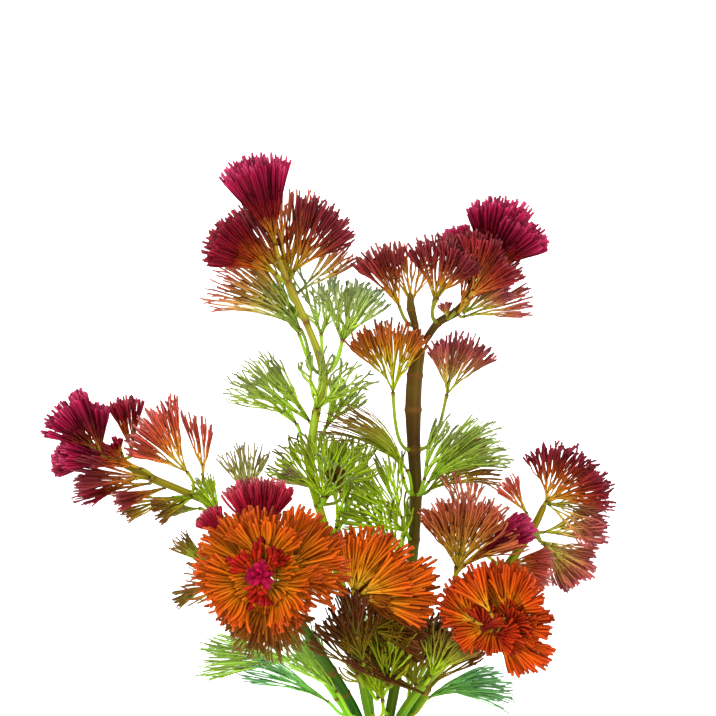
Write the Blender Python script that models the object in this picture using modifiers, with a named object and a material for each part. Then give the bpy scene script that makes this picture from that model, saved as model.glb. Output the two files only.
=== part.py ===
"""Forked fanwort, a cut water plant that lies on its back on a flat surface.

The plan is drawn in millimetres: x to the right, y from the cut ends to the tips, z up
from the surface. Seven stems lie together at their plainly cut ends and fan apart, and
the tall right one forks near its top. Each stem is a bent tube. Each leaf is a thin
notched fan on its own flat stalk, and the largest rosette has a bud at its middle.
"""

import math

import bmesh
import bpy
from mathutils import Matrix, Vector

MM = 0.001

# The middle of the plan, which becomes the origin
PLAN_CENTRE = Vector((109.6, 83.9, 0.0))

# Driving sizes, in millimetres
LEAF_THICKNESS = 0.9
STALK_WIDTH = 1.7
HUB_WIDTH = 2.4
GAP = 0.35
NOTCH_DEPTH = 0.13

# How the faceted fans and tubes are divided
FAN_ROWS = ((0.30, 4), (0.64, 7))
STALK_ROWS = 3
STEM_SIDES_RESOLUTION = 1
POINTS_PER_SPAN = 2
BUD_SEGMENTS = 8
BUD_RINGS = 6

# Share of a stalk's length that it runs straight off the stem, and straight into the leaf
STALK_HANDLE = 0.35

# Base colour and roughness of each kind of tissue
FINISHES = {
    "crimson": ((0.42, 0.02, 0.10), 0.45),
    "maroon": ((0.24, 0.03, 0.06), 0.45),
    "red_brown": ((0.42, 0.08, 0.03), 0.45),
    "orange": ((0.70, 0.18, 0.02), 0.45),
    "salmon": ((0.62, 0.17, 0.09), 0.45),
    "olive": ((0.22, 0.18, 0.02), 0.50),
    "green": ((0.22, 0.38, 0.04), 0.50),
    "teal": ((0.05, 0.26, 0.16), 0.50),
    "stem_green": ((0.30, 0.45, 0.03), 0.40),
    "stem_brown": ((0.22, 0.12, 0.02), 0.45),
}

# Each stem runs through its nodes: x, y, z and diameter
STEMS = {
    "stem_upper_left": (
        (124.7, -18.6, 1.75, 3.2),
        (124.5, -10.0, 1.75, 3.2),
        (123.3, 0.0, 4.5, 3.2),
        (121.3, 15.3, 8.0, 3.2),
        (115.0, 38.7, 12.0, 3.1),
        (109.0, 60.0, 14.5, 3.0),
        (106.0, 70.3, 16.5, 3.0),
        (103.7, 78.7, 18.0, 2.9),
        (103.3, 87.0, 19.0, 3.2),
        (105.3, 101.0, 20.0, 2.8),
        (107.7, 114.3, 21.0, 3.0),
        (102.0, 131.3, 23.0, 2.2),
        (95.7, 145.0, 25.0, 2.4),
        (93.0, 152.7, 27.0, 1.5),
    ),
    "stem_upper_right": (
        (128.4, -19.2, 1.75, 3.3),
        (128.1, -10.0, 1.75, 3.3),
        (130.0, 0.0, 4.5, 3.5),
        (132.7, 15.3, 7.5, 3.6),
        (136.0, 38.7, 10.5, 3.6),
        (138.0, 58.7, 13.0, 3.8),
        (138.7, 73.7, 15.0, 4.0),
        (138.0, 88.7, 16.5, 4.4),
        (137.7, 102.0, 18.0, 5.4),
        (138.3, 113.7, 19.0, 5.2),
        (140.0, 123.3, 20.0, 4.0),
    ),
    "fork_left": (
        (138.8, 125.8, 20.5, 2.3),
        (138.4, 130.3, 21.5, 2.3),
        (137.0, 135.7, 23.0, 2.9),
        (136.7, 141.3, 25.0, 1.6),
    ),
    "fork_right": (
        (141.9, 125.4, 20.3, 2.5),
        (146.0, 131.0, 22.0, 2.7),
        (152.0, 134.7, 23.5, 2.9),
        (156.0, 139.3, 25.0, 2.2),
        (159.0, 143.5, 26.8, 1.9),
        (161.3, 146.6, 29.2, 1.4),
    ),
    "stem_far_left": (
        (121.0, -17.8, 1.75, 3.1),
        (120.9, -10.0, 1.75, 3.1),
        (116.0, 0.0, 4.0, 3.1),
        (112.7, 5.3, 5.0, 3.1),
        (105.0, 16.0, 7.0, 3.3),
        (96.7, 26.3, 9.0, 3.2),
        (86.7, 42.0, 11.0, 3.0),
        (78.3, 57.0, 13.0, 3.1),
        (70.7, 69.3, 15.0, 2.7),
        (63.3, 73.7, 17.0, 2.5),
        (50.3, 79.3, 20.0, 2.5),
        (40.0, 84.3, 23.0, 2.0),
        (36.3, 86.4, 25.2, 1.5),
    ),
    "stem_big_rosette": (
        (122.9, -18.0, 5.0, 3.2),
        (122.7, -10.0, 5.0, 3.2),
        (118.7, 0.0, 9.0, 3.4),
        (115.0, 7.0, 13.0, 3.4),
        (110.3, 14.7, 19.0, 3.7),
        (104.0, 25.3, 30.0, 3.3),
        (96.3, 37.6, 43.5, 3.3),
        (90.6, 44.4, 52.0, 2.8),
        (89.3, 46.3, 56.0, 2.4),
    ),
    "stem_middle_rosette": (
        (126.5, -18.9, 5.0, 3.2),
        (126.3, -10.0, 5.0, 3.2),
        (123.0, 0.0, 10.0, 3.2),
        (120.7, 12.0, 17.0, 3.2),
        (118.7, 23.7, 27.0, 3.2),
        (117.7, 35.3, 38.0, 2.8),
        (117.3, 39.0, 43.0, 2.2),
    ),
    "stem_far_right": (
        (132.1, -18.4, 1.75, 3.2),
        (131.7, -10.0, 1.75, 3.2),
        (137.0, 0.0, 5.0, 3.2),
        (145.0, 13.7, 9.0, 3.2),
        (156.7, 33.7, 14.0, 3.2),
        (168.3, 48.7, 19.0, 3.0),
        (177.3, 62.0, 24.0, 2.8),
        (181.7, 71.0, 28.0, 2.0),
    ),
    "stem_small_rosette": (
        (130.2, -17.6, 5.0, 3.2),
        (129.9, -10.0, 5.0, 3.2),
        (134.0, 0.0, 10.5, 3.2),
        (142.7, 12.0, 18.0, 3.1),
        (154.0, 22.0, 28.0, 3.0),
        (162.7, 28.7, 38.0, 2.8),
        (165.6, 31.0, 44.0, 2.2),
    ),
}
STEM_FINISHES = {
    "stem_upper_left": "stem_green",
    "stem_upper_right": "stem_brown",
    "fork_left": "stem_brown",
    "fork_right": "stem_brown",
    "stem_far_left": "stem_green",
    "stem_big_rosette": "stem_green",
    "stem_middle_rosette": "stem_green",
    "stem_far_right": "stem_green",
    "stem_small_rosette": "stem_green",
}


class Fan:
    """One fan leaf: where its stalk leaves the stem, its hub, and how the fan spreads."""

    def __init__(self, stem, node, hub, reach, spread, axis, side, bow, cup, sweep, skew, lobes):
        self.stem = stem
        self.node = node
        self.hub = Vector(hub)
        self.reach = reach
        self.spread = math.radians(spread)
        self.axis = axis
        self.side = side
        self.normal = axis.cross(side)
        self.bow = bow
        self.cup = cup
        self.sweep = math.radians(sweep)
        self.skew = skew
        self.lobes = lobes

    def point(self, share, angle):
        """A point of the fan, at a share of its reach along the rib that leaves at this angle."""
        turn = self.sweep
        if turn:
            along = (math.sin(angle + turn * share) - math.sin(angle)) / turn
            across = (math.cos(angle) - math.cos(angle + turn * share)) / turn
        else:
            along = share * math.cos(angle)
            across = share * math.sin(angle)
        lift = self.bow * share**2 + self.cup * (share * math.sin(angle)) ** 2
        length = self.reach * (1.0 + self.skew * 2.0 * angle / self.spread)
        place = self.hub + length * (along * self.axis + across * self.side + lift * self.normal)
        return on_the_surface(place)


def on_the_surface(place):
    """A leaf that would pass through the surface under the plant lies flat on it."""
    place.z = max(place.z, LEAF_THICKNESS / 2)
    return place


def fan(
    stem, node, hub, heading, rise, reach, spread, bow=0, cup=0.3, sweep=0, skew=0, lobes=9
):
    """A fan by its compass heading in the plan and its rise over the surface."""
    turn, climb = (math.radians(a) for a in (heading, rise))
    axis = Vector(
        (
            math.cos(turn) * math.cos(climb),
            math.sin(turn) * math.cos(climb),
            math.sin(climb),
        )
    )
    side = Vector((-math.sin(turn), math.cos(turn), 0.0))
    return Fan(stem, node, hub, reach, spread, axis, side, bow, cup, sweep, skew, lobes)


def ring_fan(stem, node, centre, azimuth, opening, offset, reach, spread, lobes=9):
    """A fan of the big rosette: it leans out from the rosette's pole, at this azimuth round it."""
    pole = Vector(ROSETTE_POLE).normalized()
    east = Vector((1.0, 0.0, 0.0))
    east = (east - east.dot(pole) * pole).normalized()
    outward = Matrix.Rotation(math.radians(azimuth), 3, pole) @ east
    lift = math.radians(opening)
    axis = outward * math.cos(lift) + pole * math.sin(lift)
    side = pole.cross(outward)
    hub = Vector(centre) + offset * outward
    return Fan(stem, node, hub, reach, spread, axis, side, 0, 0, 0, 0, lobes)


# The big rosette faces along its pole, with its leaves in whorls of three
ROSETTE_POLE = (-0.22, 0.13, 1.0)
OUTER_LEAVES = ((25, 23.5), (145, 22.0), (265, 19.5))
INNER_AZIMUTHS = (85, 205, 325)

# Every leaf: its finish, then its place and shape
LEAVES = {
    "upper_left_leaf_top": (
        "crimson",
        fan("stem_upper_left", 13, (92.0, 157.0, 29.5), 106, 8, 30.5, 51, lobes=9),
    ),
    "upper_left_leaf_left": (
        "maroon",
        fan("stem_upper_left", 12, (92.2, 147.3, 27.5), 145, 4, 26, 56, lobes=9),
    ),
    "upper_left_leaf_right": (
        "red_brown",
        fan("stem_upper_left", 12, (98.0, 147.8, 24.5), 60, -4, 26.2, 66, skew=0.07, lobes=9),
    ),
    "upper_left_leaf_low_left": (
        "olive",
        fan("stem_upper_left", 10, (100.0, 129.0, 18.5), 129, -10, 36, 54, sweep=28, lobes=9),
    ),
    "upper_left_leaf_under": (
        "green",
        fan("stem_upper_left", 10, (107.0, 127.0, 13.0), 92, -42, 24, 84, lobes=7),
    ),
    "upper_left_leaf_low_right": (
        "green",
        fan("stem_upper_left", 10, (114.0, 125.0, 18.5), 83, -5, 21.5, 80, lobes=9),
    ),
    "upper_left_leaf_lower": (
        "green",
        fan("stem_upper_left", 8, (98.7, 97.3, 15.0), 129, -8, 28, 58, sweep=16, lobes=9),
    ),
    "upper_left_leaf_front": (
        "green",
        fan("stem_upper_left", 8, (105.5, 102.3, 24.5), 66, 4, 21, 104, skew=-0.1, lobes=9),
    ),
    "upper_left_leaf_base": (
        "green",
        fan("stem_upper_left", 6, (107.6, 73.2, 26.5), 92, 6, 22, 140, cup=0.05, lobes=11),
    ),
    "upper_right_leaf_left": (
        "maroon",
        fan("fork_left", 1, (133.0, 136.7, 21.5), 112, 5, 22, 58, lobes=9),
    ),
    "upper_right_leaf_centre": (
        "maroon",
        fan("fork_right", 1, (144.7, 138.7, 28.0), 78, 10, 21.5, 86, lobes=9),
    ),
    "upper_right_leaf_orange": (
        "orange",
        fan("stem_upper_right", 7, (131.0, 108.0, 25.0), 93, 6, 24, 84, skew=0.05, lobes=9),
    ),
    "upper_right_leaf_small": (
        "red_brown",
        fan("stem_upper_right", 7, (149.0, 107.2, 23.0), 76, 8, 20.6, 80, skew=-0.13, lobes=9),
    ),
    "upper_right_leaf_long": (
        "maroon",
        fan("fork_right", 2, (155.0, 133.2, 17.0), 14, -5, 24, 32, skew=0.04, lobes=7),
    ),
    "upper_right_leaf_arching": (
        "olive",
        fan("stem_upper_right", 6, (135.6, 82.0, 22.5), 125, 14, 33, 28, bow=-0.2, sweep=48, lobes=7),
    ),
    "upper_right_leaf_spray": (
        "green",
        fan("stem_upper_right", 6, (143.0, 78.0, 20.0), 50, 4, 30, 50, sweep=-38, lobes=7),
    ),
    "upper_right_leaf_bright": (
        "green",
        fan("stem_upper_right", 5, (134.6, 61.5, 17.0), 150, 5, 24, 60, lobes=9),
    ),
    "upper_right_tip_leaf_top": (
        "crimson",
        fan("fork_right", 4, (161.8, 149.4, 26.6), 78, 5, 23.8, 63, skew=-0.08, lobes=9),
    ),
    "upper_right_tip_leaf_right": (
        "crimson",
        fan("fork_right", 5, (163.4, 148.4, 32.4), 36, 10, 21.5, 34, lobes=7),
    ),
    "upper_right_tip_leaf_left": (
        "crimson",
        fan("fork_right", 3, (157.0, 147.8, 22.4), 112, -3, 16.6, 42, lobes=7),
    ),
    "upper_right_tip_leaf_front": (
        "red_brown",
        fan("fork_right", 3, (156.0, 139.2, 32.0), 38, 14, 20.5, 40, lobes=7),
    ),
    "far_left_leaf_low": (
        "maroon",
        fan("stem_far_left", 10, (49.3, 77.3, 15.0), 184, -8, 26.2, 30, lobes=7),
    ),
    "far_left_leaf_upright": (
        "maroon",
        fan("stem_far_left", 11, (44.0, 87.5, 20.0), 98, 0, 19, 42, lobes=7),
    ),
    "far_left_leaf_red": (
        "salmon",
        fan("stem_far_left", 9, (62.3, 81.3, 24.5), 131, 6, 24.6, 70, skew=-0.1, lobes=9),
    ),
    "far_left_tip_leaf_top": (
        "crimson",
        fan("stem_far_left", 12, (32.5, 88.7, 27.5), 138, 8, 20, 58, lobes=9),
    ),
    "far_left_tip_leaf_low": (
        "crimson",
        fan("stem_far_left", 11, (35.0, 85.0, 22.5), 182, -8, 18.2, 34, lobes=7),
    ),
    "big_rosette_leaf_pink": (
        "crimson",
        fan("stem_big_rosette", 6, (87.3, 57.0, 41.0), 94, 0, 22.8, 70, lobes=9),
    ),
    "big_rosette_leaf_grey": (
        "olive",
        fan("stem_far_left", 7, (82.7, 72.0, 21.0), 96, -3, 19.3, 68, lobes=9),
    ),
    "big_rosette_leaf_side": (
        "olive",
        fan("stem_big_rosette", 6, (81.5, 44.0, 35.0), 168, -10, 20.8, 76, lobes=9),
    ),
    "middle_rosette_leaf_upper": (
        "orange",
        fan("stem_middle_rosette", 6, (118.7, 42.5, 45.5), 76, 10, 23, 104, skew=-0.1, lobes=11),
    ),
    "middle_rosette_leaf_right": (
        "orange",
        fan("stem_middle_rosette", 6, (120.8, 39.5, 43.5), 4, 2, 26, 64, skew=0.1, lobes=9),
    ),
    "far_right_leaf_fan": (
        "red_brown",
        fan("stem_far_right", 4, (152.3, 49.3, 29.0), 70, 4, 25.5, 112, skew=-0.05, lobes=11),
    ),
    "far_right_leaf_salmon": (
        "salmon",
        fan("stem_far_right", 5, (156.3, 62.7, 16.5), 96, -4, 20, 56, skew=0.22, lobes=9),
    ),
    "far_right_leaf_head": (
        "red_brown",
        fan("stem_far_right", 7, (181.8, 71.6, 31.8), 55, 4, 21.2, 126, skew=-0.15, lobes=11),
    ),
    "far_right_leaf_side": (
        "olive",
        fan("stem_far_right", 6, (181.2, 61.2, 23.0), 10, -4, 21.8, 50, lobes=7),
    ),
    "far_right_leaf_drooping": (
        "maroon",
        fan("stem_far_right", 6, (181.2, 57.2, 15.6), -46, -26, 20.5, 52, skew=0.1, lobes=9),
    ),
    "small_rosette_leaf_top": (
        "orange",
        fan("stem_small_rosette", 6, (168.0, 33.8, 47.0), 64, 10, 17.5, 106, skew=0.18, lobes=9),
    ),
    "small_rosette_leaf_left": (
        "orange",
        fan("stem_small_rosette", 6, (157.8, 32.4, 45.5), 143, 4, 14.5, 98, skew=-0.22, lobes=9),
    ),
    "small_rosette_leaf_upper_left": (
        "orange",
        fan("stem_small_rosette", 6, (163.0, 35.4, 50.0), 122, 14, 17.5, 56, lobes=7),
    ),
    "small_rosette_leaf_low_right": (
        "orange",
        fan("stem_small_rosette", 6, (166.6, 27.0, 43.0), -32, -3, 18.8, 50, skew=0.12, lobes=7),
    ),
    "low_leaf_left": (
        "green",
        fan("stem_far_left", 4, (98.7, 18.0, 4.2), 178, -14, 34, 34, cup=0, skew=0.04, lobes=9),
    ),
    "low_leaf_right": (
        "teal",
        fan("stem_far_right", 2, (143.3, 5.3, 4.4), 26, -14, 29, 38, cup=0, skew=-0.12, sweep=-34, lobes=7),
    ),
    "low_leaf_brown": (
        "olive",
        fan("stem_far_right", 2, (143.4, 8.4, 12.2), 66, 6, 24, 78, lobes=9),
    ),
    "low_leaf_middle": (
        "green",
        fan("stem_upper_right", 2, (127.3, 8.7, 15.0), 96, 12, 30, 50, lobes=9),
    ),
}
for number, (azimuth, reach) in enumerate(OUTER_LEAVES, start=1):
    LEAVES[f"big_rosette_outer_leaf_{number}"] = (
        "orange",
        ring_fan("stem_big_rosette", 7, (89.4, 47.0, 55.5), azimuth, 3, 4.4, reach, 126, lobes=11),
    )
for number, azimuth in enumerate(INNER_AZIMUTHS, start=1):
    LEAVES[f"big_rosette_inner_leaf_{number}"] = (
        "orange",
        ring_fan("stem_big_rosette", 8, (88.5, 47.4, 59.5), azimuth, 20, 3.4, 18.5, 116),
    )

# The bud at the middle of the big rosette, and the small young leaves that grow from it
BUD_LOW = (88.2, 47.5, 60.0)
BUD_HIGH = (86.1, 48.7, 69.5)
BUD_RADIUS = 3.3
YOUNG_LEAVES = ((42, 62), (96, 34), (150, 58), (268, 66))
BUD_LEAVES = tuple(
    ring_fan(None, None, (87.5, 47.9, 63.5), azimuth, 36, 1.0, 12, spread, lobes=5)
    for azimuth, spread in YOUNG_LEAVES
)


def clear_scene():
    for item in list(bpy.data.objects):
        bpy.data.objects.remove(item)


def make_finish(name):
    """A Principled material of this tissue's colour."""
    colour, roughness = FINISHES[name]
    material = bpy.data.materials.new(name)
    material.use_nodes = True
    shader = material.node_tree.nodes["Principled BSDF"]
    shader.inputs["Base Color"].default_value = (*colour, 1.0)
    shader.inputs["Roughness"].default_value = roughness
    shader.inputs["Metallic"].default_value = 0.0
    return material


def in_frame(place):
    """A plan point in metres, from the origin at the middle of the plan."""
    return (Vector(place) - PLAN_CENTRE) * MM


def spline_points(nodes, per_span):
    """Points of a smooth Catmull-Rom curve through the nodes, each a vector of numbers."""
    ends = [2 * nodes[0] - nodes[1], *nodes, 2 * nodes[-1] - nodes[-2]]
    points = []
    for before, start, end, after in zip(ends, ends[1:], ends[2:], ends[3:]):
        for step in range(per_span):
            t = step / per_span
            points.append(
                0.5
                * (
                    2 * start
                    + (end - before) * t
                    + (2 * before - 5 * start + 4 * end - after) * t**2
                    + (3 * start - before - 3 * end + after) * t**3
                )
            )
    points.append(nodes[-1])
    return points


def make_stem(name, collection, finish):
    """A bent tube through the stem's nodes, a little thicker at each."""
    nodes = [Vector(node) for node in STEMS[name]]
    curve = bpy.data.curves.new(name, "CURVE")
    curve.dimensions = "3D"
    curve.bevel_depth = MM
    curve.bevel_resolution = STEM_SIDES_RESOLUTION
    curve.use_fill_caps = True
    points = spline_points(nodes, POINTS_PER_SPAN)
    spline = curve.splines.new("POLY")
    spline.points.add(len(points) - 1)
    for knot, point in zip(spline.points, points):
        knot.co = (*in_frame(point[:3]), 1.0)
        knot.radius = point[3] / 2
    return add_object(name, curve, collection, finish)


def add_object(name, data, collection, finish):
    item = bpy.data.objects.new(name, data)
    data.materials.append(finish)
    collection.objects.link(item)
    return item


def stem_at(name, node):
    """Centre, direction and radius of a stem at one of its nodes."""
    nodes = [Vector(n) for n in STEMS[name]]
    before = nodes[max(node - 1, 0)]
    after = nodes[min(node + 1, len(nodes) - 1)]
    along = Vector((after - before)[:3]).normalized()
    return Vector(nodes[node][:3]), along, nodes[node][3] / 2


def stalk_path(leaf):
    """The stalk's centre line, from the skin of the stem to the hub."""
    centre, along, radius = stem_at(leaf.stem, leaf.node)
    reach = leaf.hub - centre
    last = leaf.node == len(STEMS[leaf.stem]) - 1
    outward = reach.normalized() if last else (reach - reach.dot(along) * along).normalized()
    foot = centre + (radius + GAP + LEAF_THICKNESS / 2) * outward
    length = (leaf.hub - foot).length
    first = foot + STALK_HANDLE * length * outward
    second = leaf.hub - STALK_HANDLE * length * leaf.axis
    path = []
    for row in range(STALK_ROWS):
        t = row / STALK_ROWS
        path.append(
            (1 - t) ** 3 * foot
            + 3 * (1 - t) ** 2 * t * first
            + 3 * (1 - t) * t**2 * second
            + t**3 * leaf.hub
        )
    return path


def strip_row(bm, middle, across, width):
    half = across.normalized() * width / 2
    return [bm.verts.new(in_frame(on_the_surface(middle + k * half))) for k in (-1, 1)]


def bridge_rows(bm, low, high):
    """Triangles between two rows of points that run side by side and differ in number."""
    i = j = 0
    while i < len(low) - 1 or j < len(high) - 1:
        low_next = (i + 1) / (len(low) - 1)
        high_next = (j + 1) / (len(high) - 1)
        if j == len(high) - 1 or (i < len(low) - 1 and low_next <= high_next):
            bm.faces.new((low[i], high[j], low[i + 1]))
            i += 1
        else:
            bm.faces.new((low[i], high[j], high[j + 1]))
            j += 1


def fan_rows(bm, leaf):
    """The fan's rows of points, out to the notched rim."""
    rows = []
    for share, count in FAN_ROWS:
        angles = [leaf.spread * (k / (count - 1) - 0.5) for k in range(count)]
        rows.append([bm.verts.new(in_frame(leaf.point(share, a))) for a in angles])
    count = 2 * leaf.lobes + 1
    rim = []
    for k in range(count):
        share = 1.0 if k % 2 else 1.0 - NOTCH_DEPTH
        angle = leaf.spread * (k / (count - 1) - 0.5)
        rim.append(bm.verts.new(in_frame(leaf.point(share, angle))))
    return [*rows, rim]


def sheet_mesh(name, leaf):
    """The leaf's middle surface: a narrow stalk that widens into the fan."""
    bm = bmesh.new()
    rows = []
    if leaf.stem:
        path = [*stalk_path(leaf), leaf.hub]
        for here, after in zip(path, path[1:]):
            along = (after - here).normalized()
            across = leaf.side - leaf.side.dot(along) * along
            rows.append(strip_row(bm, here, across, STALK_WIDTH))
    rows.append(strip_row(bm, leaf.hub, leaf.side, HUB_WIDTH))
    rows += fan_rows(bm, leaf)
    for low, high in zip(rows, rows[1:]):
        bridge_rows(bm, low, high)
    mesh = bpy.data.meshes.new(name)
    bm.to_mesh(mesh)
    bm.free()
    return mesh


def thicken(item):
    solidify = item.modifiers.new("Thickness", "SOLIDIFY")
    solidify.thickness = LEAF_THICKNESS * MM
    solidify.offset = 0.0


def make_leaf(name, leaf, collection, finish):
    item = add_object(name, sheet_mesh(name, leaf), collection, finish)
    thicken(item)
    return item


def make_bud(collection, helpers, finish):
    """The growing tip of the big rosette: a plump spindle, joined with its own small leaves."""
    low, high = Vector(BUD_LOW), Vector(BUD_HIGH)
    mesh = bpy.data.meshes.new("big_rosette_bud")
    bm = bmesh.new()
    bmesh.ops.create_uvsphere(bm, u_segments=BUD_SEGMENTS, v_segments=BUD_RINGS, radius=MM)
    bm.to_mesh(mesh)
    bm.free()
    turn = (high - low).to_track_quat("Z", "Y").to_matrix().to_4x4()
    size = Matrix.Diagonal((BUD_RADIUS, BUD_RADIUS, (high - low).length / 2, 1.0))
    mesh.transform(Matrix.Translation(in_frame((low + high) / 2)) @ turn @ size)
    bud = add_object("big_rosette_bud", mesh, collection, finish)
    for number, leaf in enumerate(BUD_LEAVES, start=1):
        part = make_leaf(f"bud_leaf_{number}", leaf, helpers, finish)
        part.hide_render = True
        part.display_type = "WIRE"
        join = bud.modifiers.new(f"Leaf {number}", "BOOLEAN")
        join.operation = "UNION"
        join.object = part
    return bud


def main():
    clear_scene()
    scene = bpy.context.scene
    plant = bpy.data.collections.new("forked_fanwort")
    helpers = bpy.data.collections.new("cutters")
    scene.collection.children.link(plant)
    scene.collection.children.link(helpers)
    finishes = {name: make_finish(name) for name in FINISHES}
    for name, finish in STEM_FINISHES.items():
        make_stem(name, plant, finishes[finish])
    for name, (finish, leaf) in LEAVES.items():
        make_leaf(name, leaf, plant, finishes[finish])
    make_bud(plant, helpers, finishes["crimson"])


main()
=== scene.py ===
# %% [markdown]
# # A bunch of forked fanwort, cut and laid down
# The real plant is a water plant. Each shoot carries whorls of leaves, and each leaf is a fan of
# fine green, orange or crimson threads that fork again and again. The solids that are loaded
# here hold the plant's size and layout, with each leaf as a plain notched fan. This lesson
# grows the real threads over those fans, and gives every stem its nodes and its colour.

import math
from dataclasses import dataclass

import bpy
import numpy as np
from mathutils import Matrix, Vector


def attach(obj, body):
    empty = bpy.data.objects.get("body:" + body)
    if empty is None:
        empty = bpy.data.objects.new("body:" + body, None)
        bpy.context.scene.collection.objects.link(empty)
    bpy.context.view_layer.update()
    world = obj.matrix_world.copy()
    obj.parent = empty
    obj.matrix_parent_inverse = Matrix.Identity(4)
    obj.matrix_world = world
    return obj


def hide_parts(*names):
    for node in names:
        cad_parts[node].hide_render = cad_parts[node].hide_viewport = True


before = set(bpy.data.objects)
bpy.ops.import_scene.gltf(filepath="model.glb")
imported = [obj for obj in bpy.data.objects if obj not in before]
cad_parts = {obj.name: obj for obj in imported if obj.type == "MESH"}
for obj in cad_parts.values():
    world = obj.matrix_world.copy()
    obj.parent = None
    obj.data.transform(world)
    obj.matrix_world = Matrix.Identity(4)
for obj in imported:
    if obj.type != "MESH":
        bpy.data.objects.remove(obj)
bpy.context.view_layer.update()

# %% [markdown]
# ## Working in the plan
# The layout is easiest to read in millimetres, with x to the right, y up the plant and z up from
# the surface. One helper turns plan points into Blender's metres, so that no other line has to
# think about units.

# %% Plan units
MM = 0.001
PLAN_CENTRE = Vector((109.6, 83.9, 0.0))


def in_frame(points):
    """Plan points, in millimetres, as an array of points in metres."""
    return (np.asarray(points, float) - np.array(PLAN_CENTRE)) * MM


def unit(v):
    return v / np.linalg.norm(v)


# %% [markdown]
# ## Camera
# The plant lies on its back and the photograph looks at it squarely, so the camera looks
# straight down. A short lens would make the raised rosettes bulge. A long lens from over two
# metres away keeps their true proportions, as a plant photographer would.

# %% Camera
FRAME_WIDTH = 238.7
FRAME_MIDDLE = (119.33, 119.33)
FOCUS_HEIGHT = 25.0
LENS = 400.0
SENSOR = 36.0
camera_data = bpy.data.cameras.new("camera")
camera_data.lens = LENS
camera_data.sensor_width = SENSOR
camera_data.clip_end = 10.0
camera = bpy.data.objects.new("camera", camera_data)
bpy.context.scene.collection.objects.link(camera)
distance = FRAME_WIDTH * LENS / SENSOR
camera.location = in_frame((*FRAME_MIDDLE, FOCUS_HEIGHT + distance))
bpy.context.scene.camera = camera
print("camera height", round(camera.location.z, 3), "m")

# %% [markdown]
# ## Floor and light
# Thin leaves look alive when light passes through them. A pale floor that glows a little sends
# light back up through the threads, and large soft lamps overhead keep the shadows faint. The
# world is plain white, which fills the rest.

# %% Floor and lights
FLOOR_SIZE = 6.0
FLOOR_DROP = 0.0002
FLOOR_GREY = 0.6
FLOOR_GLOW = 1.5
WORLD_LIGHT = 2.1
LAMP_TARGET = Vector((0.0, 0.0, 0.03))
# Each lamp: its place and size in metres, and its power in watts
LAMPS = {
    "key": ((-0.55, 0.45, 0.9), 0.7, 9.0),
    "fill": ((0.7, 0.1, 0.8), 0.9, 5.0),
    "rim": ((0.0, -0.9, 0.6), 0.8, 4.0),
}


def make_floor():
    bpy.ops.mesh.primitive_plane_add(size=FLOOR_SIZE, location=(0.0, 0.0, -FLOOR_DROP))
    floor = bpy.context.object
    floor.name = "floor"
    material = bpy.data.materials.new("pale_floor")
    material.use_nodes = True
    shader = material.node_tree.nodes["Principled BSDF"]
    shader.inputs["Base Color"].default_value = (FLOOR_GREY, FLOOR_GREY, FLOOR_GREY, 1.0)
    shader.inputs["Roughness"].default_value = 0.9
    shader.inputs["Emission Color"].default_value = (1.0, 1.0, 1.0, 1.0)
    shader.inputs["Emission Strength"].default_value = FLOOR_GLOW
    floor.data.materials.append(material)


def add_lamp(name, place, size, power):
    """A square soft lamp that faces the plant's middle."""
    data = bpy.data.lights.new(name, "AREA")
    data.size = size
    data.energy = power
    lamp = bpy.data.objects.new(name, data)
    lamp.location = place
    aim = LAMP_TARGET - lamp.location
    lamp.rotation_euler = aim.to_track_quat("-Z", "Y").to_euler()
    bpy.context.scene.collection.objects.link(lamp)


make_floor()
for name, (place, size, power) in LAMPS.items():
    add_lamp(name, place, size, power)
world = bpy.context.scene.world or bpy.data.worlds.new("world")
bpy.context.scene.world = world
world.use_nodes = True
world.node_tree.nodes["Background"].inputs["Color"].default_value = (1.0, 1.0, 1.0, 1.0)
world.node_tree.nodes["Background"].inputs["Strength"].default_value = WORLD_LIGHT
bpy.context.scene.view_settings.view_transform = "Standard"
print("lamps:", ", ".join(LAMPS))

# %% [markdown]
# ## The stems' route
# Each stem is written down as the places of its nodes, the slightly thicker rings where leaves
# grow, with the stem's diameter there. A smooth curve read through them gives the bends
# that a water plant's limp shoots have. The leaf stalks ask for a stem's place and direction too.

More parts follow.
